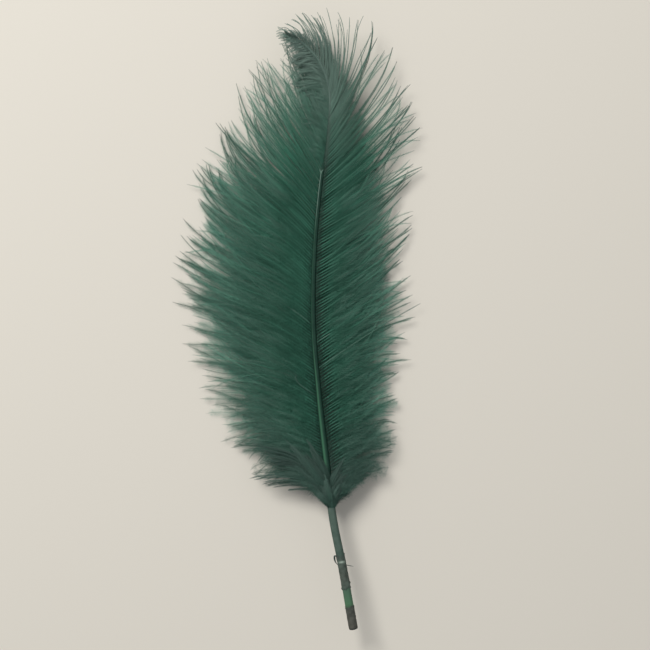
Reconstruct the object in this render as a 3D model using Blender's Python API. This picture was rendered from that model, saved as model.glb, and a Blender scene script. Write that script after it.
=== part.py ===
"""A dyed ostrich feather, lying on a table with its quill a little raised.

The feather grew as one piece, so it is one closed solid. Its skin is a loft of rings along the shaft:
round rings make the bare quill, and from the downy base on each ring opens into a chevron, which runs
out along one barb of each vane and back underneath. The barbs stick together in locks, so the length of
the chevron's arms swells and shrinks along the shaft and gives each vane its row of pointed locks.

Lengths are in millimetres and angles in degrees, and are turned into metres and radians where they are used.
+Y runs up the feather to its tip, +Z is up from the table, and the origin is under its middle.
"""

import math

import bmesh
import bpy
import numpy as np

MM = 0.001

# The shaft from the quill's end to the feather's tip: x, y, height of its middle, radius.
SHAFT = (
    (26.4, -137.8, 17.0, 1.90),
    (21.4, -109.7, 14.5, 1.85),
    (17.2, -88.5, 12.0, 1.80),
    (14.4, -64.8, 9.4, 1.55),
    (10.9, -33.6, 7.4, 1.30),
    (8.4, 0.2, 6.4, 1.10),
    (8.9, 29.4, 6.2, 0.95),
    (11.4, 58.7, 6.5, 0.85),
    (14.8, 85.6, 8.2, 0.75),
    (15.4, 104.2, 10.4, 0.65),
    (10.7, 116.5, 12.6, 0.60),
    (3.0, 124.4, 14.2, 0.55),
    (-3.7, 127.9, 14.8, 0.50),
)

# One barb of each vane at some shares of the way from the vane's base to the tip:
# share, length, angle to the shaft at the barb's root and at its tip, height of the tip above the table,
# and how much further from the shaft the barb turns in its middle.
LEFT_BARBS = (
    (0.00, 8.0, 44, 74, 9.0, 0),
    (0.02, 29.5, 38, 94, 6.6, 0),
    (0.05, 36.5, 46, 96, 5.0, 0),
    (0.12, 44.5, 50, 84, 2.6, 2),
    (0.22, 58.5, 48, 72, 1.6, 5),
    (0.32, 65.6, 46, 60, 1.4, 12),
    (0.42, 66.3, 44, 44, 1.4, 20),
    (0.50, 65.5, 43, 30, 1.5, 22),
    (0.58, 62.0, 43, 28, 2.0, 17),
    (0.66, 58.5, 39, 28, 3.4, 8),
    (0.71, 51.0, 35, 30, 4.8, 3),
    (0.75, 38.5, 34, 33, 6.1, 0),
    (0.79, 24.0, 36, 40, 7.6, 0),
    (0.84, 13.5, 40, 48, 8.9, 0),
    (0.88, 10.0, 46, 58, 10.2, 0),
    (0.92, 9.0, 52, 65, 11.8, 0),
    (0.96, 7.5, 40, 48, 13.4, 0),
    (1.00, 1.8, 20, 20, 14.8, 0),
)
RIGHT_BARBS = (
    (0.00, 7.0, 48, 72, 9.0, 0),
    (0.02, 22.0, 52, 94, 7.8, 0),
    (0.06, 32.0, 56, 95, 6.2, 0),
    (0.12, 35.5, 60, 84, 4.6, 0),
    (0.22, 41.0, 60, 74, 3.4, 0),
    (0.32, 46.0, 59, 64, 3.2, 0),
    (0.42, 49.0, 61, 49, 3.2, 0),
    (0.52, 51.5, 58, 40, 3.6, 0),
    (0.62, 54.5, 50, 30, 4.6, 0),
    (0.71, 52.5, 36, 16, 7.0, 0),
    (0.79, 43.5, 24, 5, 10.5, 0),
    (0.84, 36.5, 20, -9, 13.0, 0),
    (0.90, 25.0, 33, -12, 15.2, 0),
    (0.95, 13.5, 31, -4, 16.2, 0),
    (1.00, 1.8, 20, 20, 15.0, 0),
)

VANE_START = 55.5  # from the quill's end along the shaft
LOCKS = 32  # along each vane
RINGS_A_LOCK = 4
LOCK_CROWN = 0.9  # how far a lock's middle stands above its flanks
LOCK_GATHER = 0.5  # how far the flanks of a lock draw in to its middle at the tip
LOCK_SPREAD = 0.05  # how much locks differ in length, as a share of it
# Depth of the gaps between locks, as a share of their length, along the vane.
NOTCH = ((0.0, 0.12), (0.45, 0.16), (0.62, 0.26), (0.92, 0.34), (1.0, 0.2))
NOTCH_SPREAD = 0.45  # how much these gaps differ in depth

BARB_STEPS = 20
BARB_POINTS = (0.08, 0.30, 0.55, 0.80, 1.00)  # where a ring cuts a barb, as shares of its length
HUMP = 1.6  # barbs rise this much above a smooth line from the shaft to their tips
TOP_THICKNESS = (0.9, 0.45)  # of the vane above its barbs, at the shaft and at the tips
UNDER_THICKNESS = (1.9, 0.45)  # of the vane below them
TIP_THINNING = (0.75, 0.45)  # from this share on the vane thins, by this share of its thickness
RESTING = (0.10, 0.20, 0.60, 0.72)  # shares where the underside comes down to the table and leaves it
RESTING_TIP = 2.5  # tips lower than this rest on the table too
DOWN_END = (0.05, 0.085)  # shares between which the down that covers the shaft thins out
DOWN_HEIGHT = 1.7

SHEATH_LENGTH = 33.5  # of the dry skin that still covers the end of the quill
SHEATH_THICKNESS = 0.18
SHEATH_RINGS = 5
BARE_QUILL_RINGS = 5
BARE_QUILL_GAP = (0.3, 0.8)  # left free behind the bare quill's first ring and before the vane
QUILL_END = ((0.0, 0.55), (0.25, 0.82), (0.9, 1.0))  # its rounding: distance, share of the radius
BARE_TIP = 2.2  # of the shaft past its last barbs
SHAFT_TOP_POINTS = 5
SHAFT_UNDER_ANGLES = (216, 270, 324)  # round the shaft from its left side, over the top
UNDER_RIDGE = 1.15  # the shaft stands out more below than above
RING_POINTS = 4 * len(BARB_POINTS) + SHAFT_TOP_POINTS + len(SHAFT_UNDER_ANGLES)

DYE = (0.028, 0.085, 0.058, 1)
DYE_ROUGHNESS = 0.6

LEFT, RIGHT = 1, -1
UP = np.array((0, 0, 1))
BARBS = {LEFT: np.array(LEFT_BARBS), RIGHT: np.array(RIGHT_BARBS)}


def curve_through(keys, rows, at):
    """The rows' values at the key `at`, on a smooth curve through them."""
    slopes = np.gradient(rows, keys, axis=0)
    i = int(np.clip(np.searchsorted(keys, at) - 1, 0, len(keys) - 2))
    span = keys[i + 1] - keys[i]
    u = (at - keys[i]) / span
    start = (1 + 2 * u) * (1 - u) ** 2 * rows[i] + u * (1 - u) ** 2 * span * slopes[i]
    end = u * u * (3 - 2 * u) * rows[i + 1] + u * u * (u - 1) * span * slopes[i + 1]
    return start + end


def ease(x, start=0.0, end=1.0):
    """0 before start, 1 after end, and smooth between them."""
    u = np.clip((x - start) / (end - start), 0, 1)
    return u * u * (3 - 2 * u)


def uneven(index, salt):
    """A number from -1 to 1 that looks random, and is the same each time for one lock."""
    wave = math.sin(index * 12.9898 + salt * 78.233) * 43758.5453
    return 2 * (wave - math.floor(wave)) - 1


SHAFT_ROWS = np.array(SHAFT)
SHAFT_KEYS = np.append(0, np.cumsum(np.linalg.norm(np.diff(SHAFT_ROWS[:, :3], axis=0), axis=1)))
SHAFT_LENGTH = SHAFT_KEYS[-1]


def shaft_at(distance):
    """Middle, heading and radius of the shaft at a distance from the quill's end."""
    x, y, z, radius = curve_through(SHAFT_KEYS, SHAFT_ROWS, distance)
    behind, ahead = (curve_through(SHAFT_KEYS, SHAFT_ROWS, distance + d) for d in (-0.5, 0.5))
    heading = math.atan2(ahead[1] - behind[1], ahead[0] - behind[0])
    return np.array((x, y, z)), heading, radius


def forwards(heading):
    return np.array((math.cos(heading), math.sin(heading), 0))


def leftwards(heading):
    return np.array((-math.sin(heading), math.cos(heading), 0))


def distance_of(share):
    return VANE_START + share * (SHAFT_LENGTH - VANE_START)


def barb_line(side, share, stretch):
    """One barb's line, cut short or run on to `stretch` times its length: a function of the share of that."""
    row = curve_through(BARBS[side][:, 0], BARBS[side][:, 1:], share)
    length, root_angle, tip_angle, tip_height, sway = row
    root, heading, radius = shaft_at(distance_of(share))
    root = root + side * radius * leftwards(heading)
    way = np.linspace(0, stretch, BARB_STEPS + 1)
    mid = (way[1:] + way[:-1]) / 2
    bend = root_angle + (tip_angle - root_angle) * mid + sway * 4 * mid * (1 - mid)
    turn = heading + side * np.radians(bend)
    hops = length * stretch / BARB_STEPS * np.stack([np.cos(turn), np.sin(turn)], axis=1)
    flat = root[:2] + np.vstack([[0, 0], np.cumsum(hops, axis=0)])
    hump = HUMP * np.sin(math.pi * np.minimum(way, 1) ** 0.75)
    height = root[2] + (tip_height - root[2]) * ease(way) + hump

    def at(u):
        return np.array([np.interp(u * stretch, way, axis) for axis in (flat[:, 0], flat[:, 1], height)])

    return at


def lock_stretch(side, lock):
    return 1 + LOCK_SPREAD * uneven(lock, 3 + side)


def lock_notch(side, lock):
    """How deep the gap beside this lock is, as a share of the lock's length."""
    depth = np.interp(lock / LOCKS, *np.transpose(NOTCH))
    return depth * (1 + NOTCH_SPREAD * uneven(lock, 7 + side))


def lock_of(side, share):
    """Which lock the barb at this share is in, and where: 0 in its middle, -1 and 1 between two locks."""
    place = share * LOCKS + (0.5 if side == RIGHT else 0.0)
    lock = math.floor(place)
    return lock, 2 * (place - lock) - 1


def lock_line(side, share):
    """The barb at this share as it lies in its lock: shorter beside the lock's middle, and drawn in to it."""
    lock, off = lock_of(side, share)
    if off == -1:
        stretch = (lock_stretch(side, lock) + lock_stretch(side, lock - 1)) / 2
        notch = (lock_notch(side, lock) + lock_notch(side, lock - 1)) / 2
        return barb_line(side, share, stretch * (1 - notch))
    middle = barb_line(side, float(np.clip(share - off / 2 / LOCKS, 0, 1)), lock_stretch(side, lock))
    line = barb_line(side, share, lock_stretch(side, lock) * (1 - lock_notch(side, lock) * abs(off)))

    def at(u):
        gather = LOCK_GATHER * abs(off) * u**2
        return line(u) * (1 - gather) + middle(u) * gather

    return at


def resting(share):
    return ease(share, *RESTING[:2]) * (1 - ease(share, *RESTING[2:]))


def vane_points(side, share):
    """Where the ring runs out along one vane, on top and underneath, from the shaft to the tip."""
    line = lock_line(side, share)
    crown = LOCK_CROWN * (1 - lock_of(side, share)[1] ** 2)
    thinning = 1 - TIP_THINNING[1] * ease(share, TIP_THINNING[0], 1.0)
    top, under = [], []
    for t in BARB_POINTS:
        x, y, z = line(t)
        crowned = crown * ease(t, 0.0, 0.5) * (1 - t**4)
        above = (np.interp(t, (0, 1), TOP_THICKNESS) + crowned) * thinning
        below = np.interp(t, (0, 1), UNDER_THICKNESS) * thinning
        at_tip = ease(t, 0.8, 1.0)
        lowered = ease(t, 0.0, 0.5) * (1 - at_tip) + at_tip * (z < RESTING_TIP)
        top.append((x, y, z + above))
        under.append((x, y, max(0.0, (z - below) * (1 - lowered * resting(share)))))
    return top, under


def round_ring(middle, heading, radius):
    """A ring of the bare shaft, which lies across it."""
    turns = (np.arange(RING_POINTS) + 0.5) * 2 * math.pi / RING_POINTS
    across = leftwards(heading)
    return [middle + radius * (math.cos(a) * across + math.sin(a) * UP) for a in turns]


def vane_ring(share):
    """A ring of the feathered shaft: the left vane's top, the shaft, the right vane, and back underneath."""
    middle, heading, radius = shaft_at(distance_of(share))
    across = leftwards(heading)
    downy_radius = radius + DOWN_HEIGHT * (1 - ease(share, *DOWN_END))
    left_top, left_under = vane_points(LEFT, share)
    right_top, right_under = vane_points(RIGHT, share)
    over_turns = np.linspace(0, math.pi, SHAFT_TOP_POINTS)
    over = [middle + radius * math.cos(a) * across + downy_radius * math.sin(a) * UP for a in over_turns]
    below_turns = np.radians(SHAFT_UNDER_ANGLES)
    below = [middle + radius * (math.cos(a) * across + UNDER_RIDGE * math.sin(a) * UP) for a in below_turns]
    return left_top[::-1] + over + right_top + right_under[::-1] + below + left_under


def shaft_ring(distance, thicker=0.0):
    middle, heading, radius = shaft_at(distance)
    return round_ring(middle, heading, radius + thicker)


def quill_rings():
    """The rounded end of the quill, its sheath, and the bare quill up to the vane."""
    end, heading, radius = shaft_at(0)
    rings = [round_ring(end + back * forwards(heading), heading, radius * size) for back, size in QUILL_END]
    for distance in np.linspace(0, SHEATH_LENGTH, SHEATH_RINGS + 1)[1:]:
        rings.append(shaft_ring(distance, SHEATH_THICKNESS))
    bare = (SHEATH_LENGTH + BARE_QUILL_GAP[0], VANE_START - BARE_QUILL_GAP[1])
    for distance in np.linspace(*bare, BARE_QUILL_RINGS):
        rings.append(shaft_ring(distance))
    return rings


def feather_rings():
    rings = quill_rings()
    for share in np.linspace(0, 1, LOCKS * RINGS_A_LOCK + 1):
        rings.append(vane_ring(float(share)))
    end, heading, radius = shaft_at(SHAFT_LENGTH)
    rings.append(round_ring(end + BARE_TIP * forwards(heading), heading, radius / 2))
    return rings


def lofted(name, rings):
    """One closed skin over rings that have the same number of points."""
    mesh = bmesh.new()
    loops = [[mesh.verts.new(np.asarray(point) * MM) for point in ring] for ring in rings]
    for one, other in zip(loops, loops[1:]):
        for k in range(RING_POINTS):
            following = (k + 1) % RING_POINTS
            mesh.faces.new((one[k], one[following], other[following], other[k]))
    mesh.faces.new(loops[0][::-1])
    mesh.faces.new(loops[-1])
    data = bpy.data.meshes.new(name)
    mesh.to_mesh(data)
    mesh.free()
    data.shade_smooth()
    data.set_sharp_from_angle(angle=math.radians(40))
    solid = bpy.data.objects.new(name, data)
    bpy.context.scene.collection.objects.link(solid)
    return solid


def dyed_green():
    material = bpy.data.materials.new("dyed_green")
    material.use_nodes = True
    surface = material.node_tree.nodes["Principled BSDF"]
    surface.inputs["Base Color"].default_value = DYE
    surface.inputs["Roughness"].default_value = DYE_ROUGHNESS
    surface.inputs["Metallic"].default_value = 0.0
    return material


def main():
    for old in list(bpy.data.objects):
        bpy.data.objects.remove(old)
    feather = lofted("feather", feather_rings())
    feather.data.materials.append(dyed_green())


main()
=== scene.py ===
"""Looks of a dyed ostrich feather: its barbs with their barbules, its shaft, the dry sheath on its quill.

The vanes follow the same shaft and the same barb tables as the solid. Lengths are in millimetres and
angles in degrees until a mesh is made, which turns them into metres. Shares run from 0 at the vane's
base to 1 at the feather's tip, and `along` runs from 0 at a barb's root to 1 at its tip.
"""

import math

import bpy
import numpy as np
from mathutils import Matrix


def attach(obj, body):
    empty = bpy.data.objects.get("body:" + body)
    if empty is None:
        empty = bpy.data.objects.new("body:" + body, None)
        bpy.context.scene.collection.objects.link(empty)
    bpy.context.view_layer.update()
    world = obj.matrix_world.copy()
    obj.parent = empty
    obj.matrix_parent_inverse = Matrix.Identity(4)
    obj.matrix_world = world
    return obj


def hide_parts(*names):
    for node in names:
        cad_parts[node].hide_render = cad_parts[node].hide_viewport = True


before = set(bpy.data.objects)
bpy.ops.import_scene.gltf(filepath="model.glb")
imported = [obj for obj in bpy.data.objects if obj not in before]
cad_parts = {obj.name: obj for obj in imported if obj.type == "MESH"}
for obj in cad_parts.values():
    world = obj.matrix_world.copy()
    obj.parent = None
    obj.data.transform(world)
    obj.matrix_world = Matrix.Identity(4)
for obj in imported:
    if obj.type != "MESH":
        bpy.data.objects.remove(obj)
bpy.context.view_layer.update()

MM = 0.001

# ---- the feather's driving dimensions

# The shaft from the quill's end to the feather's tip: x, y, height of its middle, radius.
SHAFT = np.array((
    (26.4, -137.8, 17.0, 1.90),
    (21.4, -109.7, 14.5, 1.85),
    (17.2, -88.5, 12.0, 1.80),
    (14.4, -64.8, 9.4, 1.55),
    (10.9, -33.6, 7.4, 1.30),
    (8.4, 0.2, 6.4, 1.10),
    (8.9, 29.4, 6.2, 0.95),
    (11.4, 58.7, 6.5, 0.85),
    (14.8, 85.6, 8.2, 0.75),
    (15.4, 104.2, 10.4, 0.65),
    (10.7, 116.5, 12.6, 0.60),
    (3.0, 124.4, 14.2, 0.55),
    (-3.7, 127.9, 14.8, 0.50),
))

LEFT, RIGHT = 1, -1

# One barb of each vane at some shares: share, length, angle to the shaft at root and tip, height of the
# tip, and how much further from the shaft it turns in its middle.
BARBS = {
    LEFT: np.array((
        (0.00, 11.0, 24, 38, 9.0, 0),
        (0.02, 29.5, 27, 98, 6.6, 0),
        (0.05, 36.5, 41, 98, 5.0, 0),
        (0.12, 44.5, 50, 84, 2.6, 2),
        (0.22, 58.5, 48, 72, 1.6, 5),
        (0.32, 65.0, 46, 58, 1.4, 12),
        (0.42, 65.5, 44, 40, 1.4, 21),
        (0.50, 65.5, 43, 30, 1.5, 22),
        (0.58, 62.0, 43, 28, 2.0, 17),
        (0.66, 58.5, 39, 28, 3.4, 8),
        (0.71, 53.0, 35, 28, 4.6, 4),
        (0.75, 47.5, 32, 26, 5.8, 0),
        (0.79, 38.0, 30, 26, 7.4, 0),
        (0.84, 24.0, 32, 36, 9.0, 0),
        (0.88, 14.0, 42, 54, 10.4, 0),
        (0.92, 9.0, 54, 66, 11.8, 0),
        (0.96, 5.5, 42, 56, 13.4, 0),
        (1.00, 2.0, 24, 44, 14.6, 0),
    )),
    RIGHT: np.array((
        (0.00, 8.0, 40, 60, 9.0, 0),
        (0.02, 21.5, 50, 88, 7.8, 0),
        (0.06, 31.0, 56, 94, 6.2, 0),
        (0.12, 33.8, 60, 84, 4.6, 0),
        (0.22, 39.8, 60, 74, 3.4, 0),
        (0.32, 46.0, 59, 64, 3.2, 0),
        (0.42, 49.0, 61, 49, 3.2, 0),
        (0.52, 51.5, 58, 40, 3.6, 0),
        (0.62, 54.5, 50, 30, 4.6, 0),
        (0.71, 52.5, 36, 16, 7.0, 0),
        (0.79, 43.5, 24, 5, 10.5, 0),
        (0.84, 34.0, 20, -9, 13.0, 0),
        (0.90, 23.0, 33, -12, 15.2, 0),
        (0.95, 13.5, 31, -4, 16.2, 0),
        (0.975, 9.5, 20, -10, 16.0, 0),
        (1.00, 4.0, 10, -8, 15.2, 0),
    )),
}

VANE_START = 55.5  # from the quill's end along the shaft
HUMP = 1.6  # barbs rise this much above a smooth line from the shaft to their tips
TABLE_GAP = 0.15  # the lowest that any thread comes to the table

UP = np.array((0.0, 0.0, 1.0))


# ---- curves

def curve_through(keys, rows, at):
    """The rows' values at the keys `at`, on a smooth curve through them."""
    slopes = np.gradient(rows, keys, axis=0)
    at = np.asarray(at, float)
    i = np.clip(np.searchsorted(keys, at) - 1, 0, len(keys) - 2)
    span = (keys[i + 1] - keys[i])[..., None]
    u = ((at - keys[i])[..., None]) / span
    start = (1 + 2 * u) * (1 - u) ** 2 * rows[i] + u * (1 - u) ** 2 * span * slopes[i]
    end = u * u * (3 - 2 * u) * rows[i + 1] + u * u * (u - 1) * span * slopes[i + 1]
    return start + end


def ease(x, start=0.0, end=1.0):
    """0 before start, 1 after end, and smooth between them."""
    u = np.clip((x - start) / (end - start), 0, 1)
    return u * u * (3 - 2 * u)


SHAFT_KEYS = np.append(0, np.cumsum(np.linalg.norm(np.diff(SHAFT[:, :3], axis=0), axis=1)))
SHAFT_LENGTH = SHAFT_KEYS[-1]


def shaft_at(distance):
    """Middle, heading and radius of the shaft at distances from the quill's end."""
    rows = curve_through(SHAFT_KEYS, SHAFT, distance)
    behind = curve_through(SHAFT_KEYS, SHAFT, np.asarray(distance) - 0.5)
    ahead = curve_through(SHAFT_KEYS, SHAFT, np.asarray(distance) + 0.5)
    heading = np.arctan2(ahead[..., 1] - behind[..., 1], ahead[..., 0] - behind[..., 0])
    return rows[..., :3], heading, rows[..., 3]


def distance_of(share):
    return VANE_START + share * (SHAFT_LENGTH - VANE_START)


def leftwards(heading):
    return np.stack([-np.sin(heading), np.cos(heading), np.zeros_like(heading)], axis=-1)


COVERED = 0.69  # from this share on, the barbs' roots close over the shaft
BARE_AGAIN = (0.76, 0.84)  # shares between which the shaft comes to light again
FORK = 0.683  # where the shaft's painted highlight line ends


def root_of(side, share):
    """Where a barb leaves the shaft, and the shaft's heading there."""
    middle, heading, radius = shaft_at(distance_of(share))
    closed = ease(share, COVERED - 0.02, COVERED + 0.03)
    bare = ease(share, *BARE_AGAIN)
    out = 0.7 * (1 - closed) + (0.25 + 0.4 * bare) * closed
    up = -0.1 * (1 - closed) + (1.25 - 0.6 * bare) * closed
    return middle + side * out * radius * leftwards(heading) + up * radius * UP, heading


def run(turns, hop):
    """Places along a flat line that makes one hop in each of these directions."""
    hops = hop * np.stack([np.cos(turns), np.sin(turns)], axis=1)
    return np.vstack([[0, 0], np.cumsum(hops, axis=0)])


def arc(side, share, length, angles, tip_height, reach, steps, sway=0.0, hook=0.0, hump=HUMP):
    """Points along one barb.

    angles: to the shaft, at its root and at its full length. It turns evenly from one to the other.
    sway, hook: how many degrees further it turns in its middle, and near its tip.
    """
    root, heading = root_of(side, share)
    way = np.linspace(0, reach, steps + 1)
    half = (way[1:] + way[:-1]) / 2
    turn = angles[0] + (angles[1] - angles[0]) * half + sway * 4 * half * (1 - half) + hook * half**5
    flat = root[:2] + run(heading + side * np.radians(turn), length * reach / steps)
    swell = hump * np.sin(math.pi * np.minimum(way, 1) ** 0.75)
    height = root[2] + (tip_height - root[2]) * ease(way) + swell
    return np.column_stack([flat, height])


def lift_barb(points, height):
    """Raises a barb except for its root."""
    points[:, 2] += height * ease(np.linspace(0, 1, len(points)), 0, 0.3)


def barb_row(side, share):
    """Length, root angle, tip angle, tip height and sway of the barb at a share."""
    return curve_through(BARBS[side][:, 0], BARBS[side][:, 1:], share)


def barb_path(side, share, reach, steps, bend=0.0, hook=0.0):
    """Points along a barb of the tables, turned `bend` degrees away from its place in them by its tip."""
    length, root_angle, tip_angle, tip_height, sway = barb_row(side, share)
    return arc(side, share, length, (root_angle, tip_angle + bend), tip_height, reach, steps, sway, hook)


# ---- threads: barbs with their barbules

ROLL = (10, 16)  # degrees: how much barbs differ in their roll, and how far one rolls to and fro
RIDGE = 0.8  # height of a barb's ridge, as a share of its half width
FOOT_OUT = 0.8  # how far out on the barb its barbules stand, as a share of its half width
BARE_END = 0.2  # the last of a barb, which has no barbules
SHORTEST = 0.12  # barbules shorter than this are left out
DROOP = 0.05  # how far a barbule of 1 mm hangs at its tip
SHADE_DEPTH = 10.0  # how far from the root the material reads the distance, for its painted shade and light


def unit(vectors):
    return vectors / np.linalg.norm(vectors, axis=1)[:, None]


def placed(data, material, values):
    """The mesh as an object, with the numbers for its points that the material reads."""
    for name, value in values.items():
        data.attributes.new(name, "FLOAT", "POINT").data.foreach_set("value", value)
    data.shade_smooth()
    data.materials.append(material)
    piece = bpy.data.objects.new(data.name, data)
    bpy.context.scene.collection.objects.link(piece)
    return piece


class Threads:
    """Gathers the barbs of one piece: ridged strips with a row of thin barbules on both of their edges."""

    def __init__(self, name):
        self.name = name
        self.places, self.quads, self.triangles = [], [], []
        self.values = {name: [] for name in ("along", "root", "fine", "grey", "dye")}
        self.maps = []
        self.count = 0
        self.strips = 0

    def take(self, places, across, quads=None, triangles=None, **values):
        """Adds vertices, their values and the faces between them."""
        places[:, 2] = np.maximum(places[:, 2], TABLE_GAP)
        self.places.append(places)
        for name, value in values.items():
            self.values[name].append(np.broadcast_to(value, len(places)))
        self.maps.append(np.column_stack([self.strips + across, values["along"]]))
        if quads is not None:
            self.quads.append(self.count + quads)
        if triangles is not None:
            self.triangles.append(self.count + triangles)
        self.count += len(places)

    def add(self, points, thick, fringe, rng, grey, dye, shade=0.0, **barbules):
        """One barb along the points, with its barbules.

        thick: its half width at root and tip. fringe and barbules: see add_barbules.
        grey, dye: how grey it is, and how much paler than the others.
        dye also carries painted light in the hazes and painted shade on the tip comb.
        shade: added to the distance from the root, which sets the painted shade and light by the shaft.
        """
        gone = np.append(0, np.cumsum(np.linalg.norm(np.diff(points, axis=0), axis=1)))
        along = gone / gone[-1]
        heading = unit(np.gradient(points, axis=0))
        over = unit(UP - heading * heading[:, 2:3])
        roll = np.radians(rng.normal(0, ROLL[0]) + ROLL[1] * np.sin(7 * along + rng.uniform(0, 6.3)))
        cos, sin = np.cos(roll)[:, None], np.sin(roll)[:, None]
        beside = np.cross(heading, over)
        beside, over = beside * cos + over * sin, over * cos - beside * sin
        half = (thick[0] + (thick[1] - thick[0]) * along**0.8)[:, None]
        edges = points + half * beside, points + RIDGE * half * over, points - half * beside
        n = len(points) - 1
        first = 3 * np.arange(n)[:, None]
        quads = np.concatenate([first + np.array((0, 1, 4, 3)), first + np.array((1, 2, 5, 4))])
        self.take(
            np.stack(edges, axis=1).reshape(-1, 3), np.tile((0.6, 0.5, 0.4), n + 1), quads=quads,
            along=np.repeat(along, 3), root=np.repeat(np.minimum((gone + shade) / SHADE_DEPTH, 1), 3),
            fine=0.0, grey=grey, dye=dye,
        )
        for hand in (1, -1):
            barb = (points, heading, beside, over, half)
            self.add_barbules(hand, gone, barb, fringe, rng, grey, dye, shade, **barbules)
        self.strips += 1

    def add_barbules(self, hand, gone, barb, fringe, rng, grey, dye, shade, pitch=0.17, slant=(48, 24),
                     lift=(4, 14), wide=(1.1, 0.5)):
        """The barbules on one edge of a barb: thin triangles that lean towards its tip.

        hand: 1 or -1 for the edge. gone: how far from the root each point of the barb is.
        barb: its points, their headings, the directions beside and over it, and its half widths.
        fringe: the barbules' length, from their place along the barb and their distance from the root.
        pitch: the distance between them. slant: their angle to the barb near its root and near its tip.
        lift: mean and spread of their rise. wide: their feet near the root and the tip, as shares of pitch.
        """
        total = gone[-1]
        at = np.arange(rng.uniform(0, pitch), total - BARE_END, pitch)
        at = np.clip(at + rng.uniform(-0.4, 0.4, len(at)) * pitch, 0, total)
        long = fringe(at / total, at) * np.clip(rng.normal(1, 0.25, len(at)), 0.3, 1.6)
        keep = long > SHORTEST
        at, long = at[keep], long[keep]
        if not len(at):
            return
        share = at / total
        foot, ahead, side, rise, half = (
            np.column_stack([np.interp(at, gone, part[:, k]) for k in range(part.shape[1])]) for part in barb
        )
        foot = foot + hand * FOOT_OUT * half * side
        angle = np.radians(slant[0] + (slant[1] - slant[0]) * share + rng.normal(0, 7, len(at)))[:, None]
        tilt = np.radians(rng.normal(lift[0], lift[1], len(at)))[:, None]
        away = hand * np.cos(tilt) * side + np.sin(tilt) * rise
        end = foot + long[:, None] * (np.cos(angle) * ahead + np.sin(angle) * away)
        end[:, 2] -= DROOP * long**2
        base = (0.5 * pitch * (wide[0] + (wide[1] - wide[0]) * ease(share, 0.3, 0.85)))[:, None] * ahead
        order = (0, 1, 2) if hand < 0 else (1, 0, 2)
        inner, outer = 0.5 + hand * 0.1, 0.5 + hand * 0.42
        up = np.column_stack([share - 0.5 * pitch / total, share + 0.5 * pitch / total, share]).ravel()
        self.take(
            np.stack([foot - base, foot + base, end], axis=1).reshape(-1, 3),
            np.tile((inner, inner, outer), len(at)),
            triangles=3 * np.arange(len(at))[:, None] + np.array(order),
            along=np.clip(up, 0, 1), root=np.repeat(np.minimum((at + shade) / SHADE_DEPTH, 1), 3),
            fine=np.tile((0.0, 0.0, 1.0), len(at)), grey=grey, dye=dye,
        )

    def made(self, material):
        """The piece's mesh object."""
        places = np.concatenate(self.places) * MM
        quads, triangles = np.concatenate(self.quads), np.concatenate(self.triangles)
        uv = np.concatenate(self.maps)
        uv[:, 0] /= self.strips
        corners = np.concatenate([quads.ravel(), triangles.ravel()])
        starts = np.concatenate([4 * np.arange(len(quads)), 4 * len(quads) + 3 * np.arange(len(triangles))])
        data = bpy.data.meshes.new(self.name)
        data.vertices.add(len(places))
        data.vertices.foreach_set("co", places.ravel())
        data.loops.add(len(corners))
        data.loops.foreach_set("vertex_index", corners)
        data.polygons.add(len(starts))
        data.polygons.foreach_set("loop_start", starts)
        data.update(calc_edges=True)
        data.uv_layers.new(name="OFBake").data.foreach_set("uv", uv[corners].ravel())
        return placed(data, material, {name: np.concatenate(parts) for name, parts in self.values.items()})


# ---- the vanes

# Length of the barbules at a barb's tip at some shares of each vane, which is fluffy below and bare above.
TIP_FLUFF = {
    LEFT: np.array(((0.0, 1.3), (0.3, 1.2), (0.55, 0.9), (0.72, 0.55), (1.0, 0.4))),
    RIGHT: np.array(((0.0, 1.1), (0.25, 1.05), (0.5, 0.9), (0.68, 0.6), (0.8, 0.36), (1.0, 0.32))),
}


def fringe_of(begin, root, middle, tip, scale, fade):
    """Length of the barbules along a barb: short where it begins, longest in its middle, and gone at its tip.

    begin: the distances from the root between which they grow to the middle's length.
    fade: the places along the barb between which they take the tip's length.
    """
    def length(along, distance):
        swell = scale * (root + (middle - root) * ease(distance, *begin))
        return (swell + (tip - swell) * ease(along, *fade)) * (1 - ease(along, 0.92, 0.99))
    return length


def grouped(rng, count, sizes, late_sizes=None, late=0.56):
    """Groups things in a row: the number of each thing's group, and the middle place of that group.

    A group has one of the sizes, or one of the late sizes if it is beyond the share `late` of the row.
    """
    early = np.cumsum(rng.choice(sizes, count))
    early = early[early < late * count]
    ends = np.append(early, early[-1] + np.cumsum(rng.choice(late_sizes or sizes, count)))
    group = np.searchsorted(ends, np.arange(count), side="right")
    starts = np.append(0, ends)[group]
    middle = (starts + np.minimum(ends[group], count) - 1) / 2
    return group, middle


# How far the lower layers and the shorter barbs fill each vane at some shares, as a share of their length.
FILLED = {
    LEFT: np.array((
        (0.0, 1.0), (0.52, 1.0), (0.6, 0.86), (0.68, 0.78), (0.76, 0.82), (0.82, 0.95), (1.0, 0.8),
    )),
    RIGHT: np.array((
        (0.0, 1.0), (0.25, 0.97), (0.4, 0.86), (0.55, 0.7), (0.68, 0.56), (0.8, 0.42), (0.9, 0.56),
        (1.0, 0.6),
    )),
}


def in_table(table, share):
    """A table's value at a share, on straight lines between its rows."""
    return np.interp(share, table[:, 0], table[:, 1])


def greyness(share):
    """How far the colour turns grey: above 0, light grey, at the feather's tip; below 0, dark, at its foot.
    """
    return 0.85 * ease(share, 0.62, 0.92) - 0.65 * (1 - ease(share, 0.02, 0.18))


def bareness(share):
    """1 where the left vane's barbs part and let the table through, and 0 below and above that."""
    return ease(share, 0.51, 0.60) * (1 - ease(share, 0.79, 0.86))


def downiness(share):
    """1 where the vane is loose down, 0 where its barbs are bare and lie in order."""
    return 1 - ease(share, 0.15, 0.62)


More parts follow.
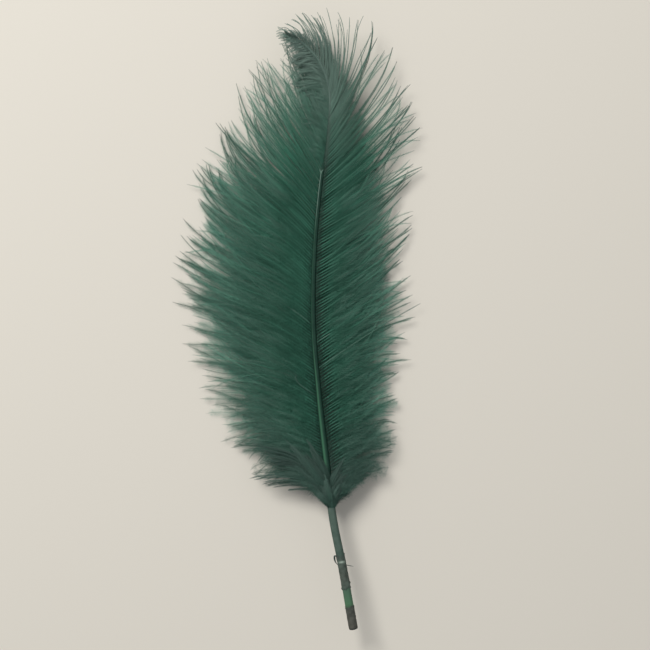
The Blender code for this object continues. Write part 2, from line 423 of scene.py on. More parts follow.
PLACE_SPREAD = 0.15  # how far a barb's root strays from its even place, as a share of their spacing
DYE_SPREAD = (0.5, 0.35)  # how much strands differ in their dye, and the barbs of one strand
FEWEST_STEPS = 8  # along a barb
LEADING = 0.6  # a barb this near to its strand's middle place leads the strand
SHAFT_SHADE = {LEFT: 3.0, RIGHT: 0.0}  # the painted shadow of the shaft falls on the right vane


class Layer:
    """One layer of a vane's barbs. Some run together into a strand, and strands lean together in locks."""

    def __init__(self, side, look, rng):
        self.side, self.look, self.rng = side, look, rng
        count = look["barbs"]
        self.strand, self.strand_middle = grouped(rng, count, look["strand"], look["late_strand"])
        self.lock, self.lock_middle = grouped(rng, count, look["lock"])
        self.places = np.arange(count) + rng.uniform(-PLACE_SPREAD, PLACE_SPREAD, count)
        strands, locks = self.strand.max() + 1, self.lock.max() + 1
        self.strand_bend = rng.normal(0, look["bend"], strands)
        self.strand_hook = rng.normal(0, look["hook"], strands)
        self.lock_bend = rng.normal(0, look["stray"], locks)
        self.strand_reach = rng.uniform(-1, 1, strands)
        self.strand_rise = rng.normal(0, look["uneven"], strands)
        self.strand_dye = rng.normal(0, DYE_SPREAD[0], strands)

    def share_of(self, place):
        return (place + 0.5) / self.look["barbs"]

    def reach_of(self, i, share, filled):
        """How far barb i reaches: a strand's leading barb as far as the strand, and the others less far."""
        look = self.look
        spread = look["spread"] + look["late_spread"] * ease(share, 0.55, 0.8)
        reach = look["reach"] + spread * self.strand_reach[self.strand[i]]
        if look["leads"] and abs(i - self.strand_middle[i]) < LEADING:
            return reach
        return (reach - self.rng.uniform(*look["cut"])) * (1 - look["follow"] * (1 - filled))

    def wildness(self, share):
        """How much strands and locks stray: more in the upper half of the vane, and little at its foot."""
        wild = 1 + self.look["wild"] * ease(share, 0.44, 0.56) * (1 - ease(share, *self.look["calm"]))
        return wild * (0.35 + 0.65 * ease(share, 0.0, 0.07))

    def waves(self, along, down):
        """Small waves that grow along a barb."""
        size = self.rng.normal(0, self.look["wave"] * (1 + 1.8 * down), (2, 3)) * (1, 1, 0.4)
        slow = np.sin(5.5 * along + self.rng.uniform(0, 6.3))[:, None] * size[0]
        quick = np.sin(11 * along)[:, None] * size[1] * 0.4
        return ease(along)[:, None] * (slow + quick)

    def points_of(self, i, share, filled, down, apart):
        """Points along barb i: its own path, drawn in to those of its strand and its lock."""
        look, side, strand, lock = self.look, self.side, self.strand[i], self.lock[i]
        hook = self.strand_hook[strand]
        reach = self.reach_of(i, share, filled)
        n = max(FEWEST_STEPS, int(round(barb_row(side, share)[0] * reach / look["step"])))
        along = np.linspace(0, 1, n + 1)
        wild = self.wildness(share)
        lock_bend = self.lock_bend[lock] * wild
        bend = self.strand_bend[strand] * (1 + 0.6 * down) * wild + lock_bend
        loose = self.rng.normal(0, look["loose"] + 2.5 * down)
        own = barb_path(side, share, reach, n, bend + loose, hook)
        near = barb_path(side, self.share_of(self.strand_middle[i]), reach, n, bend, hook)
        far = barb_path(side, self.share_of(self.lock_middle[i]), reach, n, lock_bend)
        start = look["start"] * (0.45 + 0.55 * filled) + 0.2 * down
        gather = look["gather"] + (0.96 - look["gather"]) * apart
        pull = gather * (1 - 0.6 * down) * ease(along, start * (1 - 0.4 * apart), 0.92)[:, None]
        lean = look["lean"] * (1 - 0.8 * apart) * ease(along, 0.30, 1.0)[:, None]
        points = own + (near - own) * pull + (far - near) * lean + self.waves(along, down)
        uneven = self.strand_rise[strand] + self.rng.normal(0, 0.1)
        rise = look["height"] * ease(along, 0.0, 0.25) + uneven * ease(along, 0.02, 0.4)
        points[:, 2] = np.maximum(points[:, 2] + rise, TABLE_GAP + 0.2)
        return points

    def fringe_at(self, share, filled, down):
        """The barbules' lengths: shorter to the feather's tip, where barbs part and where few reach out."""
        look, bare = self.look, bareness(share)
        scale = (1 - 0.5 * ease(share, 0.68, 0.95)) * (1 + 0.3 * down) * (1 - look["parted"] * bare)
        tip = look["fluff"] * in_table(TIP_FLUFF[self.side], share) * (1 - 0.6 * look["parted"] * bare)
        fade = 0.5 - 0.5 * (1 - filled), 0.84 - 0.5 * (1 - filled)
        return fringe_of(look["begin"], *look["fringe"], tip, scale, fade)

    def add_barb(self, i, threads):
        look, share = self.look, self.share_of(self.places[i])
        down, apart = downiness(share), look["apart"] * ease(share, 0.56, 0.7)
        filled = in_table(FILLED[self.side], share)
        if self.rng.uniform() < look["straggle"]:
            filled = 1.0
        points = self.points_of(i, share, filled, down, apart)
        thick = np.array(look["thick"]) * (1 - 0.4 * down) * (1 - 0.25 * apart)
        dye = self.strand_dye[self.strand[i]] + self.rng.normal(0, DYE_SPREAD[1])
        threads.add(
            points, thick, self.fringe_at(share, filled, down), self.rng, greyness(share), dye,
            # painted shade by the shaft, which ends where the shaft is bare again
            shade=SHAFT_SHADE[self.side] + 5 * ease(share, *BARE_AGAIN), pitch=look["pitch"],
            slant=(look["slant"][0], look["slant"][1] + 14 * down), lift=(4 + 5 * down, 14 + 8 * down),
            wide=look["wide"],
        )


def vane_layer(name, side, look, rng):
    threads = Threads(name)
    barbs = Layer(side, look, rng)
    for i in range(look["barbs"]):
        barbs.add_barb(i, threads)
    return threads


EARLY = 5.0  # a veil's barbs are bare at their roots if their barbules begin to grow further out than this


def veil(name, side, count, shares, reaches, begin, fluff, pale, skew, rng):
    """Loose barbs that come up through a vane and lie across it, the more so the lower they are."""
    threads = Threads(name)
    at_root = 0.8 if begin[0] < EARLY else 0.0
    for _ in range(count):
        share = shares[0] + (shares[1] - shares[0]) * rng.uniform() ** skew
        length, root_angle, tip_angle, tip_height, sway = barb_row(side, share)
        reach = rng.uniform(*reaches)
        n = int(length * reach / 1.5) + 3
        turn = rng.normal(0, 9 + 7 * downiness(share))
        angles = root_angle + turn, tip_angle - 2.0 * turn + rng.normal(0, 12)
        points = arc(side, share, length, angles, tip_height, reach, n, sway, rng.normal(0, 20))
        along = np.linspace(0, 1, n + 1)
        rise = rng.uniform(2.2, 2.8) * ease(along, rng.uniform(0.1, 0.3), rng.uniform(0.4, 0.7))
        points[:, 2] = np.maximum(points[:, 2] + (rise - 1.5), TABLE_GAP + 0.3)
        fringe = fringe_of(begin, at_root, rng.uniform(*fluff), 1.0, 1.0, (0.6, 0.9))
        threads.add(
            points, (0.12, 0.06), fringe, rng, greyness(share), rng.normal(pale, 0.6), shade=4.0, pitch=0.19,
            slant=(50, 40), lift=(8, 20), wide=(0.6, 0.45),
        )
    return threads


# The veils: name, vane, number of barbs, the shares between which they start, how far they reach, the
# distances from the root between which their barbules grow to full length, that length, how pale they are,
# and how unevenly they start (1: evenly; more: closer together lower down).
# the hazes' high paleness is painted light that comes through their thin barbules
VEILS = (
    ("left_vane_veil", LEFT, 236, (0.01, 0.60), (0.4, 0.95), (1, 8), (2.2, 3.2), 0.1, 1.15),
    ("left_vane_haze", LEFT, 84, (0.55, 0.82), (0.6, 1.03), (1, 8), (0.5, 1.5), 3.8, 1.0),
    ("left_edge_haze", LEFT, 48, (0.08, 0.56), (0.88, 1.02), (30, 42), (0.9, 1.7), 4.6, 1.0),
    ("right_vane_veil", RIGHT, 110, (0.01, 0.6), (0.4, 0.95), (1, 8), (2.2, 3.2), 0.2, 1.2),
    ("right_edge_haze", RIGHT, 80, (0.12, 0.76), (0.86, 1.03), (24, 34), (0.9, 1.7), 4.2, 1.0),
)

# Single barbs that stand out of the vane's edge or lie over it: side, share, reach, bend and hook. A hook's
# effect goes with the fifth power of the reach, so the one short curl has a large one.
STRAYS = (
    (RIGHT, 0.283, 1.24, -3, 0),
    (LEFT, 0.372, 1.10, -6, 0),
    (RIGHT, 0.335, 0.16, 10, 0),
    (LEFT, 0.226, 0.24, 0, -110000),
)
STRAY_STEPS = 30


def strays(rng):
    """The single barbs. The curl lies higher than the others and is dark, partly with painted shade."""
    threads = Threads("stray_barbs")
    for side, share, reach, bend, hook in STRAYS:
        # the curl's dark grey is partly painted shade
        rise, grey = (1.8, -0.6) if hook else (0.9, 0.3)
        points = barb_path(side, share, reach, STRAY_STEPS, bend, hook)
        lift_barb(points, rise)
        fringe = fringe_of((2.0, 8.0), 0.3, 0.6, 0.4, 1.0, (0.5, 0.8))
        threads.add(points, (0.16, 0.10), fringe, rng, grey, rng.normal(0, 0.3), shade=2.0)
    return threads


# The comb's barbs at some shares: their length, and their angles to the shaft at root and tip.
COMB_START, COMB_COUNT = 0.70, 100
COMB_LENGTH = np.array(((0.70, 9.0), (0.76, 15.5), (0.86, 18.0), (0.95, 10.5), (1.0, 4.5)))
COMB_ROOTS = np.array(((0.70, 46), (0.86, 50), (0.95, 36), (1.0, 24)))
COMB_TIPS = np.array(((0.70, 70), (0.86, 92), (0.95, 74), (1.0, 46)))


def tip_comb(rng):
    """Short barbs on the left of the feather's tip, which lie over the long ones that pass below them."""
    threads = Threads("tip_comb")
    for i in range(COMB_COUNT):
        share = COMB_START + 0.30 * (i + 0.5 + rng.uniform(-0.3, 0.3)) / COMB_COUNT
        length = in_table(COMB_LENGTH, share) * rng.uniform(0.6, 1.15)
        first = in_table(COMB_ROOTS, share) + rng.normal(0, 8)
        last = in_table(COMB_TIPS, share) + rng.normal(0, 22)
        n = max(FEWEST_STEPS, int(length / 0.8))
        height = root_of(LEFT, share)[0][2] - 0.8
        hook, hump = rng.normal(0, 45), rng.uniform(0.6, 1.3)
        points = arc(LEFT, share, length, (first, last), height, 1.0, n, hook=hook, hump=hump)
        lift_barb(points, rng.uniform(0.0, 0.8))
        fringe = fringe_of((1.0, 4.0), 0.6, 1.6, 0.6, 1.0, (0.55, 0.88))
        grey = greyness(share) * (0.65 + 0.35 * ease(share, 0.84, 0.93))
        # the comb's low dye darkens it with painted shade
        threads.add(points, (0.16, 0.07), fringe, rng, grey, rng.normal(-1.0, 0.7), pitch=0.13, shade=4.0)
    return threads


SPRAY = (0.80, 0.92)  # shares between which the spray's barbs start
SPRAY_COUNT, SPRAY_STEPS = 14, 24


def tip_spray(rng):
    """Single thin barbs that fan out beyond the right of the feather's tip."""
    threads = Threads("tip_spray")
    fringe = fringe_of((2.0, 6.0), 0.3, 1.0, 0.32, 1.0, (0.4, 0.8))
    for i in range(SPRAY_COUNT):
        share = SPRAY[0] + (SPRAY[1] - SPRAY[0]) * (i + rng.uniform(0.2, 0.8)) / SPRAY_COUNT
        reach, bend, hook = rng.uniform(0.9, 1.12), rng.normal(0, 6), rng.normal(0, 12)
        points = barb_path(RIGHT, share, reach, SPRAY_STEPS, bend, hook)
        lift_barb(points, rng.uniform(0.2, 0.9))
        threads.add(points, (0.16, 0.09), fringe, rng, greyness(share), rng.normal(0, 0.5), shade=6.0)
    return threads


# The flat locks of down at the vane's foot: where they leave the shaft, their angle to it (leftwards), how
# much further they turn by their tips, length, half width, and how high over the shaft they lie.
FOOT_LOCKS = (
    (66.0, 12, 16, 21.0, 1.6, 0.6),
    (64.0, 20, 16, 24.0, 1.8, 0.5),
    (62.0, 28, 14, 27.0, 1.7, 0.4),
    (60.5, 33, 14, 26.0, 1.8, 0.3),
    (59.0, 36, 14, 22.0, 1.7, 0.2),
    (63.0, -32, -10, 18.0, 1.8, 0.3),
    (60.5, -40, -10, 20.0, 1.8, 0.2),
    (59.0, -44, -12, 16.0, 1.7, 0.2),
    (60.0, 40, 18, 15.0, 1.6, 0.2),
    (57.0, 36, 12, 13.0, 1.6, 0.5),
    (57.0, -40, -12, 14.0, 1.6, 0.3),
    (55.4, 22, 18, 13.5, 1.5, 0.8),
    (55.4, -29, -14, 13.5, 1.5, 0.7),
    (54.6, 13, 13, 13.5, 1.4, 1.1),
    (54.2, -18, -12, 13.0, 1.4, 1.0),
    (55.4, 9, 6, 14.0, 1.4, 1.4),
    (54.4, -16, 6, 13.0, 1.4, 1.3),
    (55.0, -3, 8, 14.0, 1.5, 1.7),
    (57.0, 26, 22, 9.0, 1.4, 1.5),
    (56.5, -24, -18, 9.5, 1.4, 1.5),
    (58.0, 6, 12, 10.0, 1.4, 1.9),
    (57.5, 34, 26, 7.0, 1.2, 0.9),
    (57.0, -33, -18, 8.0, 1.2, 0.9),
    (56.0, 38, 30, 4.6, 0.9, 0.6),
    (66.5, 42, 48, 36.0, 2.2, -0.3),
    (65.0, 46, 50, 35.0, 2.2, -0.4),
    (63.4, 50, 48, 33.0, 2.2, -0.5),
    (62.0, 52, 46, 30.0, 1.8, -0.6),
)


LOCK_HALF = 4  # barbs on each side of a lock's middle one
LOCK_SAG = 2.4  # how far the tip of a lock hangs that stands out 60 degrees from the shaft


def foot_locks(rng):
    """Each lock is a flat leaf of barbs that part from its root and stay apart up to its rounded end."""
    threads = Threads("foot_locks")
    fringe = fringe_of((0.3, 2.0), 0.5, 1.2, 1.0, 1.0, (0.6, 0.9))
    for distance, turn, curl, length, width, over in FOOT_LOCKS:
        tilt, hump = rng.normal(0, 0.7), rng.uniform(0.3, 1.2)
        turn, length = turn + rng.normal(0, 4), length * rng.uniform(0.85, 1.2)
        middle, heading, radius = shaft_at(distance)
        n = int(length / 0.8)
        along = np.linspace(0, 1, n + 1)
        angles = heading + np.radians(turn + curl * ((along[1:] + along[:-1]) / 2))
        flat = run(angles, length / n)
        beside = leftwards(np.append(angles, angles[-1]))[:, :2]
        height = middle[2] + radius * 0.7 + 0.75 * over * ease(along, 0, 0.3)
        height = height + hump * np.sin(math.pi * along) - abs(turn) / 60 * LOCK_SAG * along**1.5
        swell = 0.25 + 0.75 * np.sin(math.pi * 0.78 * along**0.8)
        dye, dull = rng.normal(0, 0.8), -rng.uniform(0.72, 0.94)
        for k in range(-LOCK_HALF, LOCK_HALF + 1):
            part = k / LOCK_HALF + rng.uniform(-0.08, 0.08)
            reach = 1 - 0.3 * part**2 - rng.uniform(0, 0.22)
            places = middle[:2] + flat * reach + beside * (width * part * swell)[:, None]
            points = np.column_stack([places, height - 0.7 * part**2 + tilt * part * along])
            threads.add(
                points, (0.15, 0.08), fringe, rng, dull, dye + rng.normal(0.0, 0.4), shade=5.0, pitch=0.17,
                slant=(34, 30), lift=(4, 12), wide=(1.1, 0.8),
            )
    return threads


# ---- the shaft

def woven(name, places, material, looped=False, **values):
    """A closed surface through rows of points that go around something.

    looped: the last row meets the first. Otherwise both ends are capped.
    values: numbers for each point, which the material reads.
    """
    rows, count = places.shape[:2]
    index = np.arange(rows * count).reshape(rows, count)
    ahead = np.roll(index, -1, axis=0)
    if not looped:
        index, ahead = index[:-1], ahead[:-1]
    faces = np.stack([index, ahead, np.roll(ahead, -1, axis=1), np.roll(index, -1, axis=1)], axis=-1)
    faces = faces.reshape(-1, 4).tolist()
    if not looped:
        last = (rows - 1) * count
        faces += [list(range(count)), list(range(last, last + count))[::-1]]
    data = bpy.data.meshes.new(name)
    data.from_pydata((places.reshape(-1, 3) * MM).tolist(), [], faces)
    full = {key: np.broadcast_to(value, (rows, count)).ravel() for key, value in values.items()}
    return placed(data, material, full)


def around(distances, turns, out):
    """Points around the shaft.

    turns: radians, from 0 at its right over its top. out: millimetres off its surface, below 0 inwards.
    """
    middle, heading, radius = shaft_at(distances)
    beside = ((radius + out) * np.cos(turns))[..., None] * leftwards(heading)
    return middle - beside + ((radius + out) * np.sin(turns))[..., None] * UP


def bump(distances, turns, at, turn, long, wide):
    """1 at one place of the shaft's surface and 0 away from it, over a length and an angle in degrees."""
    gone = (distances - at) / long
    turned = (turns - math.radians(turn)) / math.radians(wide)
    return np.exp(-(gone**2) - turned**2)


FORK_AT = distance_of(FORK)

# The shaft at some distances from the quill's end: how far the end's middle is drawn in, as a share of the
# radius, how strong the painted highlight line is, and the line's half width in degrees.
PIT = np.array(((0.0, 0.55), (0.12, 0.28), (0.35, 0.1), (0.8, 0.0)))
HIGHLIGHT_STRENGTH = np.array((
    (56, 0), (72, 0.8), (120, 0.6), (140, 0.45), (172, 0.3), (182, 0.7), (FORK_AT - 6, 1.0), (FORK_AT, 1.0),
    (FORK_AT + 1.5, 0.0),
))
HIGHLIGHT_WIDTH = np.array(((56, 28), (72, 26), (110, 18), (130, 6.5)))


def build_shaft_piece():
    rows = np.concatenate([PIT[:, 0], np.linspace(1.5, SHAFT_LENGTH - 0.4, 300), [SHAFT_LENGTH]])
    distances, turns = np.meshgrid(rows, np.radians(np.arange(72) * 5), indexing="ij")
    tip = ease(distances, SHAFT_LENGTH - 1.0, SHAFT_LENGTH)
    groove = 0.10 * bump(distances, turns, 150, 90, 400, 20)
    out = -shaft_at(distances)[2] * (in_table(PIT, distances) + 0.6 * tip + groove)
    # the painted highlight line runs along the shaft's upper left, which faces the lamp
    highlight_turn = np.radians(112 + 16 * ease(distances, 110, 135))
    off = (turns - highlight_turn) / np.radians(in_table(HIGHLIGHT_WIDTH, distances))
    # line and pale carry the painted highlight; pale turns it whitish towards its fork
    return woven(
        "shaft", around(distances, turns, out), shaft_material(), far=distances / SHAFT_LENGTH,
        line=in_table(HIGHLIGHT_STRENGTH, distances) * np.exp(-(off**2)), pale=ease(distances, 176, 196),
    )


RAGGED = ((0.5, 2), (0.35, 5), (0.3, 11))  # waves of a ragged edge: height, and number around the quill


def ragged(rng, turns, size):
    """How far a ragged edge around the quill strays along it."""
    waves = sum(share * np.sin(count * turns + rng.uniform(0, 6.3)) for share, count in RAGGED)
    return size * (waves + rng.uniform(-0.35, 0.35, len(turns)))


PALE_SPOT = (30.6, 88, 0.45, 42)  # on the sheath, as the arguments of bump
SHELL = 0.07  # thickness of the sheath


def sleeve(name, start, end, sizes, nubs, rng, material):
    """A length of the quill's dry sheath: a thin shell around it whose torn ends stand off a little."""
    turns = np.radians(np.arange(64) * 360 / 64)
    first, last = start + ragged(rng, turns, sizes[0]), end + ragged(rng, turns, sizes[1])
    share = np.linspace(0, 1, int((end - start) / 0.22))[:, None]
    distances = first + (last - first) * share
    turns = np.broadcast_to(turns, distances.shape)
    edge = np.minimum(distances - first, last - distances)
    flare = np.maximum(rng.normal(0.06, 0.07, len(turns[0])), 0) * np.exp(-edge / 0.45)
    flare = flare * ease(distances, 0.3, 3.0)
    grain = 0.025 * np.sin(9 * turns + 0.9 * distances) + 0.02 * np.sin(23 * turns + 0.35 * distances)
    out = 0.11 + flare + grain + 0.03 * np.sin(2.1 * distances + 3 * turns)
    out = out - 0.3 * np.exp(-((distances / 0.55) ** 2))
    for at, turn, high in nubs:
        out = out + high * bump(distances, turns, at, turn, 0.4, 15)
    inner = np.minimum(out - SHELL, 0.05 + flare)
    values = {"far": distances / 40, "pale": bump(distances, turns, *PALE_SPOT), "worn": np.exp(-edge / 0.5)}
    places = np.concatenate([around(distances, turns, out), around(distances, turns, inner)[::-1]])
    both = {key: np.concatenate([value, value[::-1]]) for key, value in values.items()}
    return woven(name, places, material, looped=True, **both)


def hair(name, path, thick, material, **values):
    """A thin closed thread through some points: distance, turn in degrees and millimetres off the shaft."""
    keys = np.array([
        around(np.array(at), np.array(math.radians(turn)), np.array(out)) for at, turn, out in path
    ])
    points = curve_through(np.linspace(0, 1, len(keys)), keys, np.linspace(0, 1, 8 * len(keys)))
    heading = unit(np.gradient(points, axis=0))
    left = unit(np.cross(UP, heading))
    over = np.cross(heading, left)
    half = np.interp(np.linspace(0, 1, len(points)), np.linspace(0, 1, len(thick)), thick)[:, None, None]
    turns = np.radians(np.arange(6) * 60)[None, :, None]
    places = points[:, None] - half * np.cos(turns) * left[:, None] + half * np.sin(turns) * over[:, None]
    return woven(name, places, material, **values)


# ---- materials

BLACK, WHITE = (0, 0, 0), (1, 1, 1)


class Dye:
    """A material in the making, and the nodes that its colour comes from."""

    def __init__(self, name):
        self.material = bpy.data.materials.new(name)
        self.material.use_nodes = True
        self.nodes, self.links = self.material.node_tree.nodes, self.material.node_tree.links

    def feed(self, socket, value):
        """Gives a socket a number or a colour, or links it to an output."""
        if isinstance(value, tuple):
            socket.default_value = (*value, 1)
        elif isinstance(value, (int, float)):
            socket.default_value = value
        else:
            self.links.new(value, socket)

    def number(self, operation, *values):
        node = self.nodes.new("ShaderNodeMath")
        node.operation = operation
        for socket, value in zip(node.inputs, values):
            self.feed(socket, value)
        return node.outputs[0]

    def read(self, name):
        node = self.nodes.new("ShaderNodeAttribute")
        node.attribute_name = name
        return node.outputs["Fac"]

    def ramp(self, factor, stops):
        """Colours at some places of the factor, with straight changes between them."""
        node = self.nodes.new("ShaderNodeValToRGB")
        marks = node.color_ramp.elements
        for mark, (place, colour) in zip(marks, (stops[0], stops[-1])):
            mark.position = place
            mark.color = (*colour, 1)
        for place, colour in stops[1:-1]:
            marks.new(place).color = (*colour, 1)
        self.feed(node.inputs["Fac"], factor)
        return node.outputs["Color"]

    def mixed(self, factor, one, other, kind="MIX"):
        node = self.nodes.new("ShaderNodeMix")
        node.data_type = "RGBA"
        node.blend_type = kind
        for socket, value in zip((node.inputs["Factor"], *node.inputs[6:8]), (factor, one, other)):
            self.feed(socket, value)
        return node.outputs[2]

    def noise(self, size_mm, detail):
        """Noise from 0 to 1 whose lumps are about this size."""
        place = self.nodes.new("ShaderNodeTexCoord")
        node = self.nodes.new("ShaderNodeTexNoise")
        node.inputs["Scale"].default_value = 1 / (size_mm * MM)
        node.inputs["Detail"].default_value = detail
        self.links.new(place.outputs["Object"], node.inputs["Vector"])
        return node.outputs["Fac"]

    def patchy(self, size_mm, detail, dark, light):
        """A colour that goes between two tones in patches of about this size."""
        return self.ramp(self.noise(size_mm, detail), ((0.3, dark), (0.7, light)))

    def finished(self, colour, roughness, specular):
        surface = self.nodes["Principled BSDF"].inputs
        self.feed(surface["Base Color"], colour)
        self.feed(surface["Roughness"], roughness)
        self.feed(surface["Specular IOR Level"], specular)
        return self.material


def barb_material(name, inner, outer, core, tip, grey, shadow):
    """Dyed barbs, paler outwards with painted light that comes through them, grey at the feather's tip
    and dark at its foot.

    inner, outer: the colour up to a barb's middle, and its barbules' beyond it, paler with painted light.
    core, tip: the barb's own beyond it, and at its end. grey: the colour at the feather's tip.
    shadow: how light the barbs are at some distances from the shaft, as shares of SHADE_DEPTH: painted shade
    by the shaft and a painted lit band beyond it.
    """
    dye = Dye(name)
    along, root, fine, dull, paler = (dye.read(value) for value in ("along", "root", "fine", "grey", "dye"))
    # paler outer colours: painted light that comes through the thin barbules
    out = dye.ramp(along, ((0.0, inner), (0.45, inner), (0.85, outer), (1.0, outer)))
    spine = dye.ramp(along, ((0.0, inner), (0.45, inner), (0.75, core), (0.92, core), (1.0, tip)))
    base = dye.mixed(dye.number("POWER", fine, 0.4), spine, out)
    # painted shade by the shaft, then a painted lit band, as a brightness to multiply by
    painted_shade_and_light = dye.ramp(root, [(place, (level, level, level)) for place, level in shadow])
    shade = dye.number("MULTIPLY_ADD", paler, 0.13, 1.0)
    lumpy = dye.number("MULTIPLY_ADD", dye.noise(16, 2.0), 0.5, 0.75)
    scaled = dye.nodes.new("ShaderNodeVectorMath")
    scaled.operation = "SCALE"
    dye.feed(scaled.inputs[0], dye.mixed(1.0, base, painted_shade_and_light, "MULTIPLY"))
    dye.feed(scaled.inputs["Scale"], dye.number("MULTIPLY", shade, lumpy))
    dark, darkest = (0.050, 0.092, 0.075), (0.026, 0.052, 0.042)
    middle = dye.number("MULTIPLY_ADD", dull, 0.5, 0.5)
    greys = dye.ramp(middle, ((0.02, darkest), (0.16, dark), (0.45, dark), (0.55, grey)))
    final = dye.mixed(dye.number("ABSOLUTE", dull), scaled.outputs[0], greys)
    return dye.finished(final, 0.6, 0.25)


# Colours of the quill's end, at some shares of the shaft's length.
QUILL_END = (
    (0.0, (0.05, 0.045, 0.035)),
    (0.034, (0.06, 0.07, 0.055)),
    (0.042, (0.070, 0.165, 0.090)),
    (0.066, (0.072, 0.130, 0.090)),
    (0.074, (0.05, 0.085, 0.068)),
)


def shaft_material():
    """Grey-green on the quill, dark along the vanes, with a painted highlight line, whitish further on."""
    dye = Dye("dyed_shaft")
    quill = dye.patchy(3, 4.0, (0.050, 0.085, 0.068), (0.085, 0.125, 0.102))
    vane = dye.patchy(3, 4.0, (0.010, 0.036, 0.025), (0.016, 0.050, 0.034))
    tip = dye.patchy(3, 4.0, (0.085, 0.135, 0.115), (0.12, 0.18, 0.15))
    far = dye.read("far")
    vane = dye.mixed(dye.ramp(far, ((0.80, BLACK), (0.86, WHITE))), vane, tip)
    base = dye.mixed(dye.ramp(far, ((0.20, BLACK), (0.225, WHITE))), quill, vane)
    bare = dye.ramp(far, ((0.07, WHITE), (0.08, BLACK)))
    base = dye.mixed(bare, base, dye.ramp(far, QUILL_END))
    # the painted highlight's colour: green along the vanes, whitish where pale is 1
    light = dye.mixed(dye.read("pale"), (0.055, 0.17, 0.095), (0.29, 0.42, 0.36))
    return dye.finished(dye.mixed(dye.read("line"), base, light), 0.6, 0.12)


# Colours of the sheath, at some shares of the quill's first 40 mm.
SHEATH = (
    (0.0, (0.075, 0.070, 0.058)),
    (0.25, (0.070, 0.078, 0.065)),
    (0.45, (0.075, 0.105, 0.085)),
    (0.6, (0.070, 0.085, 0.070)),
    (0.85, (0.060, 0.085, 0.070)),
)


def sheath_material():
    """The quill's dry sheath: dull grey-green, browner at the quill's end, with darker worn edges."""
    dye = Dye("dry_sheath")
    tones = dye.patchy(1.6, 5.0, (0.72, 0.72, 0.72), (1.3, 1.3, 1.3))
    base = dye.mixed(1.0, dye.ramp(dye.read("far"), SHEATH), tones, "MULTIPLY")
    worn = dye.number("MULTIPLY", dye.read("worn"), 0.45)
    base = dye.mixed(worn, base, (0.035, 0.055, 0.05))
    return dye.finished(dye.mixed(dye.read("pale"), base, (0.34, 0.42, 0.35)), 0.7, 0.2)


# ---- the pieces

def dressed(piece):
    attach(piece, "root")
    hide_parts("feather")


# How a layer of barbs lies. "late" is for the upper part of the vane.
# strand, lock: how many barbs run together, and how many lean together. gather, start, apart: how closely
# strands run together, from where on, and how much more so in the upper part. lean: how closely locks lean.
# step: millimetres between points. height: above the tables'. reach, spread: how far strands reach, and how
# much that differs. leads: whether a strand has a leading barb. cut: by how much the others fall short.
# follow, straggle: how much those keep to FILLED, and the share of all barbs that don't.
# bend, stray, hook, loose: how much strands, locks, strands' tips and single barbs turn. wild, calm: how
# much more strands and locks do in the upper half, and where that ends. wave, uneven: how much barbs wave
# and strands differ in height. begin, fringe, fluff, parted, pitch, wide, slant: the barbules.
# thick: a barb's half width at root and tip.
TOP = dict(
    barbs=160, strand=(2, 3), late_strand=None, lock=(4, 5, 6, 7), gather=0.9, start=0.45, apart=0.0,
    lean=0.35, step=1.5, height=0.4, reach=1.03, spread=0.05, late_spread=0.0, leads=True, cut=(0.04, 0.2),
    follow=1.0, straggle=0.0, bend=2.5, stray=3.0, hook=9.0, loose=1.0, wave=0.25, uneven=0.15, wild=0.0,
    calm=(0.70, 0.76), begin=(0.5, 3.0), fringe=(1.0, 2.3), fluff=1.0, parted=0.0, pitch=0.14,
    wide=(1.1, 0.8), slant=(48, 24), thick=(0.19, 0.10),
)
MIDDLE = dict(TOP, height=-0.6, leads=False, lock=(5, 6, 8), hook=12.0, wave=0.5, uneven=0.25, pitch=0.15)
UNDER = dict(
    TOP, height=-1.6, leads=False, strand=(1, 1, 2), lock=(6, 8, 9), spread=0.08, bend=5.0, hook=12.0,
    loose=5.0, wave=0.6, uneven=0.3, fringe=(1.2, 2.5), pitch=0.17, slant=(48, 50), thick=(0.15, 0.05),
)

LAYERS = {
    LEFT: {
        "top": dict(
            TOP, begin=(4.5, 7.5), fringe=(0.32, 2.4), gather=0.82, lean=0.4, cut=(0.03, 0.3), stray=5.5,
            wild=0.6, late_strand=(1, 2, 2, 3), apart=0.5, fluff=1.7, wide=(1.1, 0.46), start=0.35, bend=3.5,
            loose=2.5, wave=0.8, slant=(48, 32), parted=0.7,
        ),
        "middle": dict(
            MIDDLE, strand=(1, 2), reach=1.01, spread=0.06, cut=(0.0, 0.16), straggle=0.35, gather=0.4,
            bend=5.0, stray=5.0, wild=0.8, loose=4.0, lean=0.3, fluff=2.2, thick=(0.15, 0.05),
            wide=(1.1, 0.32), slant=(48, 50), parted=0.7,
        ),
        "under": dict(
            UNDER, reach=0.95, cut=(0.0, 0.2), gather=0.2, straggle=0.25, stray=5.0, wild=0.8, lean=0.2,
            fluff=2.5, wide=(1.1, 0.32), parted=0.7,
        ),
    },
    RIGHT: {
        "top": dict(
            TOP, begin=(5.0, 14.0), fringe=(0.32, 2.3), strand=(3, 4), late_strand=(1, 2, 2, 3), follow=0.5,
            apart=1.0, cut=(0.10, 0.34), gather=0.8, start=0.3, stray=4.0, thick=(0.19, 0.11),
            slant=(48, 30), wild=0.6, calm=(0.96, 1.0), late_spread=0.08, hook=12.0, wave=0.4,
        ),
        "middle": dict(
            MIDDLE, spread=0.08, cut=(0.0, 0.2), gather=0.5, bend=4.0, loose=3.0, fluff=2.5,
            thick=(0.15, 0.06), wide=(1.1, 0.38), slant=(48, 48),
        ),
        "under": dict(
            UNDER, barbs=150, reach=0.98, cut=(0.0, 0.22), gather=0.3, fluff=2.9, wide=(1.1, 0.36),
        ),
    },
}


SEEDS = {LEFT: 11, RIGHT: 12}
LOOSE_SEED, QUILL_SEED = 5, 9


